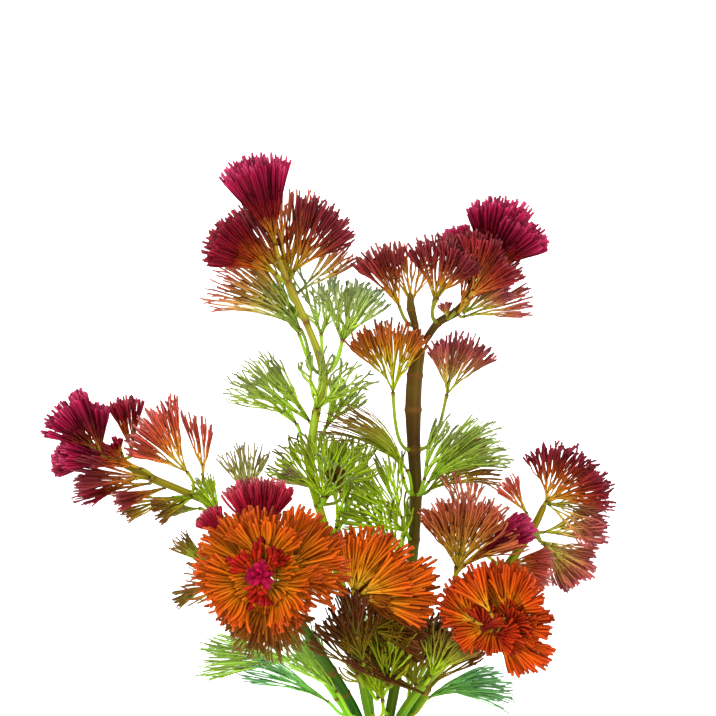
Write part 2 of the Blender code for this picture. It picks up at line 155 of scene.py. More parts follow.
# %% Stem routes
# Each stem runs through its nodes: x, y, z and diameter
STEMS = {
    "stem_upper_left": (
        (124.7, -18.6, 1.75, 3.2), (124.5, -10, 1.75, 3.2), (123.3, 0, 4.5, 3.2), (121.3, 15.3, 8, 3.2),
        (115, 38.7, 12, 3.1), (109, 60, 14.5, 3), (106, 70.3, 16.5, 3), (103.7, 78.7, 18, 2.9),
        (103.3, 87, 19, 3.2), (105.3, 101, 20, 2.8), (107.7, 114.3, 21, 3), (102, 131.3, 23, 2.2),
        (95.7, 145, 25, 2.4), (93, 152.7, 27, 1.5),
    ),
    "stem_upper_right": (
        (128.4, -19.2, 1.75, 3.3), (128.1, -10, 1.75, 3.3), (130, 0, 4.5, 3.5), (132.7, 15.3, 7.5, 3.6),
        (136, 38.7, 10.5, 3.6), (138, 58.7, 13, 3.8), (138.7, 73.7, 15, 4), (138, 88.7, 16.5, 4.4),
        (137.7, 102, 18, 5.4), (138.3, 113.7, 19, 5.2), (140, 123.3, 20, 4),
    ),
    "fork_left": (
        (138.8, 125.8, 20.5, 2.3), (138.4, 130.3, 21.5, 2.3), (137, 135.7, 23, 2.9),
        (136.7, 141.3, 25, 1.6),
    ),
    "fork_right": (
        (141.9, 125.4, 20.3, 2.5), (146, 131, 22, 2.7), (152, 134.7, 23.5, 2.9), (156, 139.3, 25, 2.2),
        (159, 143.5, 26.8, 1.9), (161.3, 146.6, 29.2, 1.4),
    ),
    "stem_far_left": (
        (121, -17.8, 1.75, 3.1), (120.9, -10, 1.75, 3.1), (116, 0, 4, 3.1), (112.7, 5.3, 5, 3.1),
        (105, 16, 7, 3.3), (96.7, 26.3, 9, 3.2), (86.7, 42, 11, 3), (78.3, 57, 13, 3.1),
        (70.7, 69.3, 15, 2.7), (63.3, 73.7, 17, 2.5), (50.3, 79.3, 20, 2.5), (40, 84.3, 23, 2),
        (36.3, 86.4, 25.2, 1.5),
    ),
    "stem_big_rosette": (
        (122.9, -18, 5, 3.2), (122.7, -10, 5, 3.2), (118.7, 0, 9, 3.4), (115, 7, 13, 3.4),
        (110.3, 14.7, 19, 3.7), (104, 25.3, 30, 3.3), (96.3, 37.6, 43.5, 3.3), (90.6, 44.4, 52, 2.8),
        (89.3, 46.3, 56, 2.4),
    ),
    "stem_middle_rosette": (
        (126.5, -18.9, 5, 3.2), (126.3, -10, 5, 3.2), (123, 0, 10, 3.2), (120.7, 12, 17, 3.2),
        (118.7, 23.7, 27, 3.2), (117.7, 35.3, 38, 2.8), (117.3, 39, 43, 2.2),
    ),
    "stem_far_right": (
        (132.1, -18.4, 1.75, 3.2), (131.7, -10, 1.75, 3.2), (137, 0, 5, 3.2), (145, 13.7, 9, 3.2),
        (156.7, 33.7, 14, 3.2), (168.3, 48.7, 19, 3), (177.3, 62, 24, 2.8), (181.7, 71, 28, 2),
    ),
    "stem_small_rosette": (
        (130.2, -17.6, 5, 3.2), (129.9, -10, 5, 3.2), (134, 0, 10.5, 3.2), (142.7, 12, 18, 3.1),
        (154, 22, 28, 3), (162.7, 28.7, 38, 2.8), (165.6, 31, 44, 2.2),
    ),
}


def stem_at(name, node):
    """Centre, direction and radius of a stem at one of its nodes."""
    nodes = np.array(STEMS[name], float)
    before = nodes[max(node - 1, 0)]
    after = nodes[min(node + 1, len(nodes) - 1)]
    return nodes[node][:3], unit((after - before)[:3]), nodes[node][3] / 2


print("stems and forks:", len(STEMS))

# %% [markdown]
# ## The shape of a leaf
# A leaf's threads all leave one hub at the top of its stalk and spread over a slightly dished
# fan. A thread's place on the fan is given by its share of the leaf's reach, from 0 at the hub to
# 1 at the rim, and by its angle from the leaf's middle line. Real leaves are seldom flat and
# even, so a fan can also bow, curl up at its sides, sweep round or lean to one side.

# %% Fan leaves
THREAD_CLEARANCE = 0.25


@dataclass
class Fan:
    """One fan leaf: where its stalk leaves the stem, its hub, and how the fan spreads."""

    stem: str
    node: int
    hub: np.ndarray
    reach: float
    spread: float
    axis: np.ndarray
    side: np.ndarray
    bow: float = 0.0
    cup: float = 0.0
    sweep: float = 0.0
    skew: float = 0.0

    @property
    def normal(self):
        return np.cross(self.axis, self.side)

    def points(self, share, angle, depth):
        """Points of the fan for arrays of shares, angles and depths off the leaf."""
        turn = self.sweep
        if turn:
            along = (np.sin(angle + turn * share) - np.sin(angle)) / turn
            across = (np.cos(angle) - np.cos(angle + turn * share)) / turn
        else:
            along = share * np.cos(angle)
            across = share * np.sin(angle)
        lift = self.bow * share**2 + self.cup * (share * np.sin(angle)) ** 2 + depth
        length = self.reach * (1.0 + self.skew * 2.0 * angle / self.spread)
        offset = (
            along[..., None] * self.axis + across[..., None] * self.side + lift[..., None] * self.normal
        )
        place = self.hub + length[..., None] * offset
        place[..., 2] = np.maximum(place[..., 2], THREAD_CLEARANCE)
        return place


def fan(stem, node, hub, heading, rise, reach, spread, bow=0.0, cup=0.3, sweep=0.0, skew=0.0):
    """A fan by its compass heading in the plan and its rise over the surface, in degrees."""
    turn, climb, spread, sweep = (math.radians(a) for a in (heading, rise, spread, sweep))
    axis = Vector((math.cos(turn) * math.cos(climb), math.sin(turn) * math.cos(climb), math.sin(climb)))
    side = Vector((-math.sin(turn), math.cos(turn), 0.0))
    hub, axis, side = np.array(hub, float), np.array(axis), np.array(side)
    return Fan(stem, node, hub, reach, spread, axis, side, bow, cup, sweep, skew)


# %% [markdown]
# ## Reading a table of leaves
# Over a hundred leaves are easiest to compare as a table with a row for each. A row names the
# leaf, the finish of its solid, its colours and the style of its threads, which come later. Then
# it says where the leaf grows and how it spreads.

# %% Leaf table reader
@dataclass
class Leaf:
    """A leaf's finish, its colours, its thread style and its fan."""

    finish: str
    palette: str
    style: str
    fan: Fan


def read_leaves(rows):
    """Leaves by name, from the rows of a table."""
    leaves = {}
    for row in rows.strip().splitlines():
        name, finish, palette, style, stem, node, *rest = row.split()
        x, y, z, heading, rise, reach, spread = (float(number) for number in rest[:7])
        bends = {key: float(value) for key, value in (bend.split("=") for bend in rest[7:])}
        shape = fan(stem, int(node), (x, y, z), heading, rise, reach, spread, **bends)
        leaves[name] = Leaf(finish, palette, style, shape)
    return leaves


# %% [markdown]
# ## Where every leaf grows
# This is the layout of the solids, repeated so that the threads lie exactly where the solid
# leaves do.

# %% Leaf layout
# Columns: name, finish of the solid, colours, thread style, stem and its node, then the hub's
# x y z, the heading, rise, reach and spread, and any bend by its name
LEAF_ROWS = """
upper_left_leaf_top crimson crimson crowded stem_upper_left 13 92 157 29.5 106 8 30.5 51
upper_left_leaf_left maroon claret crowded stem_upper_left 12 92.2 147.3 27.5 145 4 26 56
upper_left_leaf_right red_brown dusk full stem_upper_left 12 98 147.8 24.5 60 -4 26.2 66 skew=0.07
upper_left_leaf_low_left olive bronze open stem_upper_left 10 100 129 18.5 129 -10 36 54 sweep=28
upper_left_leaf_under green sage antler stem_upper_left 10 107 127 13 92 -42 24 84
upper_left_leaf_low_right green sage antler stem_upper_left 10 114 125 18.5 83 -5 21.5 80
upper_left_leaf_lower green green airy stem_upper_left 8 98.7 97.3 15 129 -8 28 58 sweep=16
upper_left_leaf_front green green antler stem_upper_left 8 105.5 102.3 24.5 66 4 21 104 skew=-0.1
upper_left_leaf_base green lime open stem_upper_left 6 107.6 73.2 26.5 92 6 22 140 cup=0.05
upper_right_leaf_left maroon maroon full fork_left 1 133 136.7 21.5 112 5 22 58
upper_right_leaf_centre maroon dusk full fork_right 1 144.7 138.7 28 78 10 21.5 86
upper_right_leaf_orange orange gold full stem_upper_right 7 131 108 25 93 6 24 84 skew=0.05
upper_right_leaf_small red_brown plum full stem_upper_right 7 149 107.2 23 76 8 20.6 80 skew=-0.13
upper_right_leaf_long maroon plum open fork_right 2 155 133.2 17 14 -5 24 32 skew=0.04
upper_right_leaf_arching olive moor brush stem_upper_right 6 135.6 82 22.5 125 14 33 28 bow=-0.2 sweep=48
upper_right_leaf_spray green green long stem_upper_right 6 143 78 20 50 4 30 50 sweep=-38
upper_right_leaf_bright green lime open stem_upper_right 5 134.6 61.5 17 150 5 24 60
upper_right_tip_leaf_top crimson crimson crowded fork_right 4 161.8 149.4 26.6 78 5 23.8 63 skew=-0.08
upper_right_tip_leaf_right crimson crimson crowded fork_right 5 163.4 148.4 32.4 36 10 21.5 34
upper_right_tip_leaf_left crimson crimson crowded fork_right 3 157 147.8 22.4 112 -3 16.6 42
upper_right_tip_leaf_front red_brown flame full fork_right 3 156 139.2 32 38 14 20.5 40
far_left_leaf_low maroon dusk open stem_far_left 10 49.3 77.3 15 184 -8 26.2 30
far_left_leaf_upright maroon claret full stem_far_left 11 44 87.5 20 98 0 19 42
far_left_leaf_red salmon salmon full stem_far_left 9 62.3 81.3 24.5 131 6 24.6 70 skew=-0.1
far_left_tip_leaf_top crimson wine crowded stem_far_left 12 32.5 88.7 27.5 138 8 20 58
far_left_tip_leaf_low crimson wine crowded stem_far_left 11 35 85 22.5 182 -8 18.2 34
big_rosette_leaf_pink crimson rose crowded stem_big_rosette 6 87.3 57 41 94 0 22.8 70
big_rosette_leaf_grey olive straw fine stem_far_left 7 82.7 72 21 96 -3 19.3 68
big_rosette_leaf_side olive olive open stem_big_rosette 6 81.5 44 35 168 -10 20.8 76
middle_rosette_leaf_upper orange orange rosette stem_middle_rosette 6 118.7 42.5 45.5 76 10 23 104 skew=-0.1
middle_rosette_leaf_right orange orange rosette stem_middle_rosette 6 120.8 39.5 43.5 4 2 26 64 skew=0.1
far_right_leaf_fan red_brown rust full stem_far_right 4 152.3 49.3 29 70 4 25.5 112 skew=-0.05
far_right_leaf_salmon salmon peach open stem_far_right 5 156.3 62.7 16.5 96 -4 20 56 skew=0.22
far_right_leaf_head red_brown sunset full stem_far_right 7 181.8 71.6 31.8 55 4 21.2 126 skew=-0.15
far_right_leaf_side olive plum full stem_far_right 6 181.2 61.2 23 10 -4 21.8 50
far_right_leaf_drooping maroon plum full stem_far_right 6 181.2 57.2 15.6 -46 -26 20.5 52 skew=0.1
small_rosette_leaf_top orange ember rosette stem_small_rosette 6 168 33.8 47 64 10 17.5 106 skew=0.18
small_rosette_leaf_left orange ember rosette stem_small_rosette 6 157.8 32.4 45.5 143 4 14.5 98 skew=-0.22
small_rosette_leaf_upper_left orange ember rosette stem_small_rosette 6 163 35.4 50 122 14 17.5 56
small_rosette_leaf_low_right orange ember rosette stem_small_rosette 6 166.6 27 43 -32 -3 18.8 50 skew=0.12
low_leaf_left green meadow long stem_far_left 4 98.7 18 4.2 178 -14 34 34 cup=0 skew=0.04
low_leaf_right teal teal long stem_far_right 2 143.3 5.3 4.4 26 -14 29 38 cup=0 skew=-0.12 sweep=-34
low_leaf_brown olive umber open stem_far_right 2 143.4 8.4 12.2 66 6 24 78
low_leaf_middle green lime open stem_upper_right 2 127.3 8.7 15 96 12 30 50
"""
LEAVES = read_leaves(LEAF_ROWS)
print("leaves in the table:", len(LEAVES))

# %% [markdown]
# ## The big rosette
# Seen end on, a shoot's tip is a rosette of whorls, with each whorl turned so that its leaves
# fill the gaps of the one below. Three large leaves lie almost flat, and three shorter ones rise
# over them. Their hubs stand in a ring round the rosette's pole.

# %% Rosette leaves
ROSETTE_POLE = Vector((-0.22, 0.13, 1.0)).normalized()
OUTER_CENTRE = (89.4, 47.0, 55.5)
INNER_CENTRE = (88.5, 47.4, 59.5)
# Each outer leaf: its azimuth round the pole, its reach and its colours
OUTER_LEAVES = ((25, 23.5, "orange"), (145, 22.0, "orange"), (265, 19.5, "autumn"))
INNER_AZIMUTHS = (85, 205, 325)


def ring_fan(node, centre, azimuth, opening, offset, reach, spread):
    """A fan of the big rosette: it leans out from the rosette's pole, at this azimuth round it."""
    pole = ROSETTE_POLE
    east = Vector((1.0, 0.0, 0.0))
    east = (east - east.dot(pole) * pole).normalized()
    outward = Matrix.Rotation(math.radians(azimuth), 3, pole) @ east
    lift = math.radians(opening)
    axis = np.array(outward * math.cos(lift) + pole * math.sin(lift))
    side = np.array(pole.cross(outward))
    hub = np.array(Vector(centre) + offset * outward, float)
    return Fan("stem_big_rosette", node, hub, reach, math.radians(spread), axis, side)


for number, (azimuth, reach, palette) in enumerate(OUTER_LEAVES, start=1):
    shape = ring_fan(7, OUTER_CENTRE, azimuth, opening=3, offset=4.4, reach=reach, spread=126)
    LEAVES[f"big_rosette_outer_leaf_{number}"] = Leaf("orange", palette, "rosette", shape)
for number, azimuth in enumerate(INNER_AZIMUTHS, start=1):
    shape = ring_fan(8, INNER_CENTRE, azimuth, opening=20, offset=3.4, reach=18.5, spread=116)
    LEAVES[f"big_rosette_inner_leaf_{number}"] = Leaf("orange", "orange", "rosette", shape)
print("leaves with a solid of their own:", len(LEAVES))

# %% [markdown]
# ## Smaller leaves
# The other leaves are threads alone. They lie over, under or beside the fans above, where young
# and half hidden leaves crowd the shoots.

# %% Small leaves
# The columns are those of the first table
SMALL_LEAF_ROWS = """
upper_left_small_leaf_behind red_brown rust open stem_upper_left 12 95 147 19.5 84 -3 30 40
upper_left_small_leaf_maroon maroon dusk full stem_upper_left 12 94 147.5 25 118 4 26 40
upper_left_small_leaf_twiggy olive green airy stem_upper_left 10 99.5 127.5 16 112 0 21 56 sweep=20
upper_left_small_leaf_crossing green green antler stem_upper_left 8 103 98.3 15 133 -4 25 44 sweep=10
upper_left_small_leaf_side green green antler stem_upper_left 8 108.7 96.3 15 58 -6 18 60
upper_left_small_leaf_base green green antler stem_upper_left 6 109 73 25.5 66 14 17 84
upper_left_small_leaf_between green lime antler stem_upper_left 5 115.5 72 19 86 2 21 60
upper_right_leaf_back red_brown rust open fork_left 2 137.3 136.8 18.5 94 -3 21.5 74
upper_right_small_leaf_crimson crimson crimson crowded fork_right 4 160.5 146.5 29.5 54 6 24 34
upper_right_small_leaf_crossing olive moor brush stem_upper_right 6 134.5 79.5 24 98 8 33 22 sweep=78
upper_right_small_leaf_low green lime open stem_upper_right 5 134 66 20 120 4 23 70
upper_right_small_leaf_upright green green antler stem_upper_right 6 141.5 79 24 72 10 22 44 sweep=-24
upper_right_small_leaf_dark olive olive open stem_upper_right 6 143 75 17 44 0 26 56 sweep=-30
far_left_leaf_bottom olive olive open stem_far_left 9 57 72.5 10 192 -8 19 40
far_left_tip_leaf_upright crimson wine crowded stem_far_left 11 33.8 88.3 26.5 94 8 16 32 skew=0.1
far_left_small_leaf_over maroon dusk open stem_far_left 10 50 79.5 23.8 177 2 26.5 32
far_left_small_leaf_below maroon maroon open stem_far_left 10 54.5 75.8 17 197 -6 18 24
far_left_small_leaf_pink salmon salmon open stem_far_left 8 67.7 79.3 21.5 94 4 21 36 skew=0.2
far_left_small_leaf_twigs olive olive antler stem_far_left 8 64 73 19.5 204 -4 15 44
far_left_leaf_foot olive straw fine stem_far_left 7 66 69 15 183 0 13 32
big_rosette_small_leaf_pink crimson rose crowded stem_big_rosette 6 75.5 59.5 38 128 2 11.5 60
big_rosette_leaf_bottom olive moor open stem_big_rosette 6 89.6 38.6 45 265 -14 20.5 92
middle_rosette_leaf_brown olive umber open stem_middle_rosette 4 117 20.5 32 96 12 20 56
middle_rosette_leaf_low red_brown umber full stem_middle_rosette 5 121 30 36 -4 0 23 60
far_right_leaf_small salmon salmon open stem_far_right 6 175.4 67.9 26 124 5 13.6 46
far_right_small_leaf_magenta crimson crimson crowded stem_far_right 4 155 50.5 31.5 33 5 26 26
middle_rosette_small_leaf_between orange orange rosette stem_middle_rosette 6 120 41.2 45.5 26 6 20 62
small_rosette_small_leaf_left orange ember rosette stem_small_rosette 6 158.5 33 43.5 165 2 11 60
small_rosette_small_leaf_top orange ember rosette stem_small_rosette 6 167 34 44.5 100 4 18.5 66
far_right_small_leaf_rust red_brown red_brown open stem_far_right 4 152 50 26 84 0 21 96
far_right_small_leaf_golden red_brown plum open stem_far_right 7 181.8 71 27 -4 -6 22 92
upper_left_small_leaf_hub red_brown red_brown open stem_upper_left 12 97 146.5 22 100 -6 18 110
upper_left_small_leaf_gold olive olive open stem_upper_left 11 99 134 17 140 -12 25 54 sweep=12
small_rosette_small_leaf_right orange ember rosette stem_small_rosette 6 168.8 31.2 45.5 0 2 15.3 46
small_rosette_small_leaf_under orange ember rosette stem_small_rosette 6 165.5 28 41.5 -50 -8 17 50
middle_rosette_small_leaf_left orange orange rosette stem_middle_rosette 6 117.5 43 47.5 104 14 20 60
low_small_leaf_brown olive umber open stem_middle_rosette 3 124.5 14.5 24 62 8 25 66
low_small_leaf_dark olive umber open stem_small_rosette 3 136 13 22 88 8 24 70
upper_right_small_leaf_lowest green lime antler stem_upper_right 4 133 47 14 104 2 27 60
upper_left_small_leaf_lowest green lime antler stem_upper_left 5 112 62.5 16.5 68 2 22 70
far_left_small_leaf_stalks green lime fine stem_far_left 7 73.5 66 18 118 2 16 40
low_leaf_trailing teal teal fine stem_far_left 2 109 4 4 146 -3 32 26 sweep=20
low_leaf_foot green meadow long stem_big_rosette 2 112 8 18 130 6 24 50
low_small_leaf_crown_left olive umber open stem_middle_rosette 4 121 18.7 38 108 14 20 84
low_small_leaf_crown_middle olive moss open stem_middle_rosette 3 129.3 10.7 30 92 8 23.5 62
low_small_leaf_crown_right olive moor open stem_small_rosette 3 143.5 13.5 31 66 6 20.5 88
low_small_leaf_crown_green green lime antler stem_middle_rosette 3 126 6 22 86 8 25 70
low_small_leaf_twiggy red_brown twig airy stem_small_rosette 3 141 7.7 28 158 8 34 20 sweep=-22
low_small_leaf_green green lime open stem_far_right 1 136 4 8 74 2 26 50
small_rosette_folded_leaf_left orange ruby rosette stem_small_rosette 6 160.5 29.5 44 70 34 10.5 120
small_rosette_folded_leaf_right orange ruby rosette stem_small_rosette 6 169 30.3 45 48 36 10.5 120
far_left_tip_leaf_tall crimson wine crowded stem_far_left 12 34 87.3 29.5 112 8 22.6 17
far_left_small_leaf_antler maroon claret young stem_far_left 11 40.5 87.3 25 135 10 6 90
far_right_small_leaf_low salmon salmon full stem_far_right 5 167 51 21 -8 0 18 56
upper_right_small_leaf_young maroon plum fine fork_right 2 149 132.8 27 100 6 5.6 60
upper_left_small_leaf_low_left green straw antler stem_upper_left 6 107.5 75.5 24 158 2 16.5 30
upper_left_small_leaf_twisted red_brown umber airy stem_upper_left 6 113.5 75 28 104 8 8.5 60
big_rosette_small_leaf_side olive moor fine stem_big_rosette 6 70 50 32 140 0 15.5 34
big_rosette_small_leaf_low olive moor fine stem_big_rosette 6 70 44 31 204 0 13.5 28
upper_right_small_leaf_leaning red_brown flame full fork_right 3 157.5 142 33 76 10 20 56
upper_right_small_leaf_deep maroon dusk full fork_right 3 156.5 143.5 24.5 104 4 19.5 52
far_left_small_leaf_upright maroon wine full stem_far_left 11 40 84.5 26 172 4 21 34
far_left_small_leaf_inner maroon sunset open stem_far_left 10 47 82.5 25 160 4 19 34
far_left_small_leaf_behind maroon claret open stem_far_left 10 45 79 15.5 198 -4 19 30
small_rosette_small_leaf_between orange ember rosette stem_small_rosette 6 162 30 41 182 0 12 110
middle_rosette_small_leaf_lowest orange autumn full stem_middle_rosette 6 120.5 38.5 41 -10 -2 22 40
upper_left_small_leaf_right olive bronze open stem_upper_left 11 99.5 141.5 18 36 2 23 40 sweep=16
small_rosette_small_leaf_edge orange ember rosette stem_small_rosette 6 164 31 42 -4 2 17.5 74
small_rosette_small_leaf_below orange ember rosette stem_small_rosette 6 164 32.5 40 -80 0 12 110
small_rosette_folded_leaf_low orange ruby rosette stem_small_rosette 6 164.5 27.8 44 -10 26 11 90
middle_rosette_small_leaf_hub orange autumn rosette stem_middle_rosette 6 118.5 40.2 42.5 40 2 14 150
low_small_leaf_crown_wide olive umber open stem_small_rosette 3 138.5 10.5 27 100 8 25 96
small_rosette_small_leaf_centre orange ember rosette stem_small_rosette 6 162.5 30.5 41.5 104 0 14 130
upper_left_small_leaf_right_green green sage antler stem_upper_left 10 114.3 125.2 20.5 62 0 21.5 56
far_left_small_leaf_under_tip maroon wine full stem_far_left 11 37 85.5 23.5 152 4 18.5 36
upper_right_small_leaf_front red_brown flame full fork_right 3 153 135 25.5 62 6 20 60
upper_right_small_leaf_spray maroon plum full fork_right 3 155 134.5 21 34 0 17.5 40
low_small_leaf_crown_back olive umber open stem_middle_rosette 3 131 11 22 86 8 27 110
low_small_leaf_crown_low olive moss open stem_middle_rosette 2 127.5 5.5 27 98 8 19 100
upper_right_small_leaf_over maroon dusk full fork_right 1 145.8 139.2 32.5 60 12 20.5 60
low_small_leaf_crown_edge olive umber open stem_middle_rosette 3 119 14.5 34 124 8 21 56
far_right_small_leaf_drooping maroon plum full stem_far_right 6 180.5 58 12.5 -34 -14 21 62
low_small_leaf_crown_front olive twig airy stem_middle_rosette 5 119 27.5 45.5 94 10 16.5 52
"""
SMALL_LEAVES = read_leaves(SMALL_LEAF_ROWS)

# %% [markdown]
# ## The rosette's heart
# The youngest leaves stand up round the bud, in two more rings. They are laid out like the big
# ones of the rosette, only closer to the pole and steeper.

# %% Heart leaves
HEART_CENTRE = (88.3, 47.2, 60.0)
YOUNG_CENTRE = (87.5, 47.9, 64.0)
HEART_AZIMUTHS = (20, 92, 164, 236, 308)
# The young leaves: azimuth, reach and spread
YOUNG_LEAVES = ((42, 9.5, 62), (96, 9.5, 34), (150, 10.5, 58), (268, 9.5, 66))
for number, azimuth in enumerate(HEART_AZIMUTHS, start=1):
    shape = ring_fan(8, HEART_CENTRE, azimuth, opening=24, offset=1.4, reach=12, spread=84)
    SMALL_LEAVES[f"big_rosette_heart_leaf_{number}"] = Leaf("orange", "heart", "rosette", shape)
for number, (azimuth, reach, spread) in enumerate(YOUNG_LEAVES, start=1):
    shape = ring_fan(8, YOUNG_CENTRE, azimuth, opening=34, offset=2.0, reach=reach, spread=spread)
    SMALL_LEAVES[f"big_rosette_young_leaf_{number}"] = Leaf("orange", "young_red", "young", shape)
print("leaves of threads alone:", len(SMALL_LEAVES))

# %% [markdown]
# ## One mesh from many tubes
# Curves with a bevel would do for a few tubes, but thousands of threads are quicker as one mesh.
# Each ring of points is carried along its path, and the rings are joined with quads. Values
# stored on the points, such as how far out a thread runs, colour it later.

# %% Mesh helpers
class Sheaf:
    """Collects closed tubes, then makes one mesh object of them."""

    def __init__(self):
        self.verts = []
        self.faces = []
        self.values = {"along": [], "tint": [], "knot": [], "edge": []}
        self.count = 0

    def add(self, rings, along, tint, knot=None, edge=None):
        """rings: path steps x ring points x 3. The ends are closed."""
        steps, sides = rings.shape[:2]
        index = self.count + np.arange(steps * sides).reshape(steps, sides)
        low, high = index[:-1], index[1:]
        quads = np.stack([low, np.roll(low, -1, 1), np.roll(high, -1, 1), high], -1)
        self.faces += quads.reshape(-1, 4).tolist()
        self.faces += [index[0][::-1].tolist(), index[-1].tolist()]
        self.verts.append(rings.reshape(-1, 3))
        self.values["along"].append(np.repeat(along, sides))
        self.values["tint"].append(np.full(steps * sides, tint))
        self.values["knot"].append(np.repeat(np.zeros(steps) if knot is None else knot, sides))
        self.values["edge"].append(np.tile(np.zeros(sides) if edge is None else edge, steps))
        self.count += steps * sides

    def make(self, name, material):
        mesh = bpy.data.meshes.new(name)
        mesh.from_pydata(in_frame(np.vstack(self.verts)).tolist(), [], self.faces)
        for key, parts in self.values.items():
            attribute = mesh.attributes.new(key, "FLOAT", "POINT")
            attribute.data.foreach_set("value", np.concatenate(parts).astype(np.float32))
        mesh.shade_smooth()
        mesh.materials.append(material)
        item = bpy.data.objects.new(name, mesh)
        bpy.context.scene.collection.objects.link(item)
        return item


def ring_of(path, hint, widths, depths, sides):
    """Oval rings round a path, wide along the hint."""
    along = np.gradient(path, axis=0)
    along /= np.linalg.norm(along, axis=1)[:, None]
    across = np.broadcast_to(hint, path.shape) - (along @ hint)[:, None] * along
    across /= np.linalg.norm(across, axis=1)[:, None]
    deep = np.cross(along, across)
    turn = np.arange(sides) * 2 * math.pi / sides
    return (
        path[:, None, :]
        + (np.cos(turn) * (widths / 2)[:, None])[..., None] * across[:, None, :]
        + (np.sin(turn) * (depths / 2)[:, None])[..., None] * deep[:, None, :]
    )


# %% [markdown]
# ## Thread styles
# A crowded young leaf has wide, flat, blunt tips that touch. An old green leaf has thin ones that
# are set apart and wander. A style holds all of that in a few numbers, so that one growing rule
# serves every leaf. Lengths are shares of the leaf's reach, and widths are in millimetres.

# %% Style
# The most branches that leave a hub
MOST_FIRST_FORKS = 9


@dataclass
class Style:
    """How a leaf forks, and how wide and unruly its threads are."""

    forks: tuple  # branches at each fork after the first
    shares: tuple  # how far out the forks lie
    widths: tuple  # thread width at each fork, and at the tips
    fill: float  # how much of the rim the tips cover
    stray: float  # how far branches turn off their slice
    spacing: float  # how far they lean off the leaf
    wave: float  # how far they bend and come back
    curl: float  # how far the tips bend away
    ragged: float  # how much the tips differ in length
    layers: int  # how many fans of threads lie on each other
    lean: float  # how far the layers lean apart
    front: float  # painted light and shade by layer: how much lighter the front layer is painted, darker below 0
    gather: float  # how far branches draw together after a fork

    def forks_for(self, leaf):
        """The counts of branches at each fork, the first one fitted to the leaf's rim."""
        tips = self.fill * leaf.reach * leaf.spread / self.widths[-1]
        first = round(tips / math.prod(self.forks))
        return (min(max(first, 2), MOST_FIRST_FORKS), *self.forks)


# %% [markdown]
# ## One style for each kind of leaf
# Red leaves near the tips are crowded or full, the rosette's are short and broad, and the green
# ones lower down are like antlers or loose and airy. Their numbers were found by comparing each
# kind with the photograph.

# %% Thread styles
STYLES = {
    "crowded": Style(
        forks=(3, 2, 2), shares=(0.15, 0.34, 0.54), widths=(0.66, 0.6, 0.66, 0.92), fill=1.1,
        stray=0.14, spacing=0.05, wave=0.05, curl=0.06, ragged=0.05,
        layers=3, lean=0.11, front=0.14, gather=0.06,
    ),
    "rosette": Style(
        forks=(3, 2), shares=(0.14, 0.36), widths=(0.8, 0.9, 1.1), fill=0.85,
        stray=0.14, spacing=0.07, wave=0.05, curl=0.08, ragged=0.11,
        layers=3, lean=0.14, front=0.14, gather=0.08,
    ),
    "full": Style(
        forks=(3, 2, 2), shares=(0.19, 0.4, 0.6), widths=(0.62, 0.52, 0.56, 0.78), fill=0.86,
        stray=0.2, spacing=0.08, wave=0.07, curl=0.1, ragged=0.09,
        layers=3, lean=0.15, front=0.12, gather=0.14,
    ),
    "open": Style(
        forks=(2, 2, 2), shares=(0.18, 0.38, 0.6), widths=(0.7, 0.6, 0.56, 0.64), fill=0.62,
        stray=0.24, spacing=0.12, wave=0.12, curl=0.12, ragged=0.12,
        layers=2, lean=0.2, front=0.06, gather=0.18,
    ),
    "antler": Style(
        forks=(2, 2, 2), shares=(0.22, 0.45, 0.7), widths=(0.95, 0.85, 0.75, 0.7), fill=0.36,
        stray=0.24, spacing=0.16, wave=0.12, curl=0.15, ragged=0.14,
        layers=3, lean=0.26, front=-0.06, gather=0.16,
    ),
    "airy": Style(
        forks=(2, 2, 2), shares=(0.2, 0.42, 0.66), widths=(0.75, 0.66, 0.58, 0.54), fill=0.38,
        stray=0.26, spacing=0.16, wave=0.16, curl=0.2, ragged=0.12,
        layers=3, lean=0.26, front=-0.1, gather=0.12,
    ),
    "brush": Style(
        forks=(3, 2), shares=(0.08, 0.26), widths=(0.55, 0.45, 0.45), fill=0.42,
        stray=0.24, spacing=0.12, wave=0.08, curl=0.14, ragged=0.18,
        layers=2, lean=0.22, front=-0.1, gather=0.1,
    ),
    "fine": Style(
        forks=(2, 2, 2), shares=(0.14, 0.32, 0.55), widths=(0.7, 0.6, 0.54, 0.52), fill=0.48,
        stray=0.24, spacing=0.14, wave=0.14, curl=0.18, ragged=0.16,
        layers=2, lean=0.24, front=-0.1, gather=0.1,
    ),
    "long": Style(
        forks=(2, 2, 2), shares=(0.12, 0.3, 0.52), widths=(0.7, 0.58, 0.5, 0.46), fill=0.52,
        stray=0.28, spacing=0.12, wave=0.14, curl=0.18, ragged=0.14,
        layers=3, lean=0.2, front=-0.06, gather=0.05,
    ),
    "young": Style(
        forks=(2,), shares=(0.45,), widths=(1.3, 1.9), fill=1.3,
        stray=0.25, spacing=0.2, wave=0.05, curl=0.05, ragged=0.2,
        layers=3, lean=0.25, front=0.12, gather=0.1,
    ),
}
print("thread styles:", ", ".join(STYLES))

# %% [markdown]
# ## The section of a thread
# A thread is a thin strip that is a little thicker in its middle. Four points round it are
# enough: two for its edges and two for its faces. The edges are marked for painted shade, darker
# as the rounded sides of a thin strip look against the light, which keeps one thread apart from
# the next in a crowded leaf.

# %% Thread section
# Marks the edge points of a thread, where shade is painted
THREAD_EDGE_SHADE = np.array((1.0, 0.0, 1.0, 0.0))
THREAD_DEPTH = 0.34


